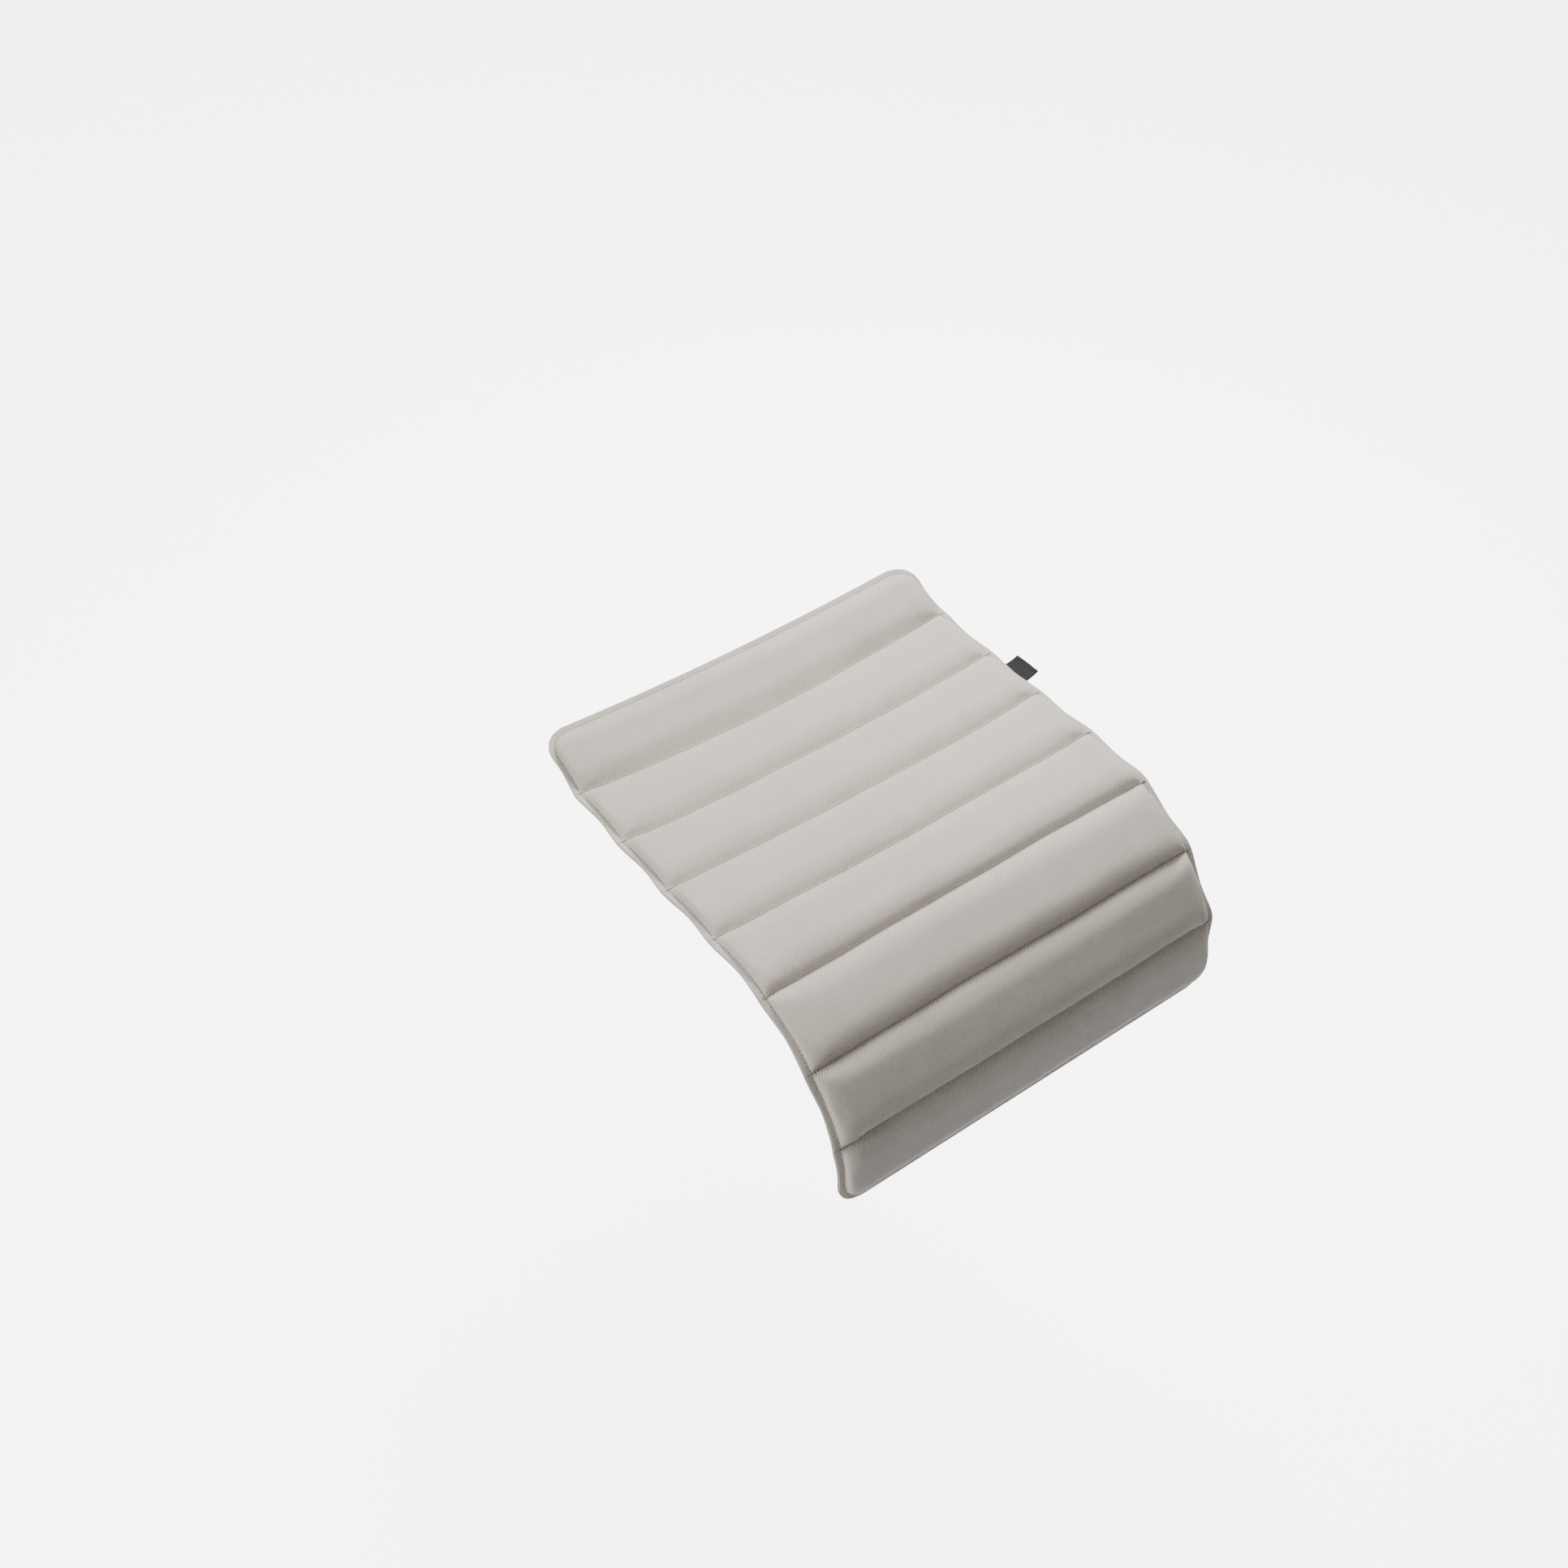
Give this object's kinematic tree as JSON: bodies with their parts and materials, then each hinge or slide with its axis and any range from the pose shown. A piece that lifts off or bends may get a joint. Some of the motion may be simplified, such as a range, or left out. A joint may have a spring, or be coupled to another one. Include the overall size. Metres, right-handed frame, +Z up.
{
  "type": "chair seat pad",
  "caption": "Draped quilted seat pad: foam strips in stitched channels between two cloth covers, with a flat turned hem and a folded side label, shaped to a seat that rolls down in front.",
  "frame": {"origin": "middle of the flat face on the underside of the fourth channel, where the pad rests on the seat", "axes": "+X along the quilting seams towards the labelled side, +Y towards the chair's back, +Z up"},
  "size_m": [0.389, 0.4218, 0.1584],
  "materials": {
    "top_cloth": "woven twill, matt",
    "under_cloth": "woven, matt, rubber-dotted for grip",
    "foam": "open-cell foam",
    "thread": "twisted polyester thread",
    "label_tape": "woven tape"
  },
  "bodies": {
    "root": {"top_cover": "top_cloth", "bottom_cover": "under_cloth", "foam_strip_1": "foam", "foam_strip_2": "foam", "foam_strip_3": "foam", "foam_strip_4": "foam", "foam_strip_5": "foam", "foam_strip_6": "foam", "foam_strip_7": "foam", "foam_strip_8": "foam", "quilt_needle_thread_1": "thread", "quilt_needle_thread_2": "thread", "quilt_needle_thread_3": "thread", "quilt_needle_thread_4": "thread", "quilt_needle_thread_5": "thread", "quilt_needle_thread_6": "thread", "quilt_needle_thread_7": "thread", "quilt_bobbin_thread_1": "thread", "quilt_bobbin_thread_2": "thread", "quilt_bobbin_thread_3": "thread", "quilt_bobbin_thread_4": "thread", "quilt_bobbin_thread_5": "thread", "quilt_bobbin_thread_6": "thread", "quilt_bobbin_thread_7": "thread", "edge_needle_thread": "thread", "edge_bobbin_thread": "thread", "joining_thread": "thread", "side_label": "label_tape"}
  },
  "joints": []
}
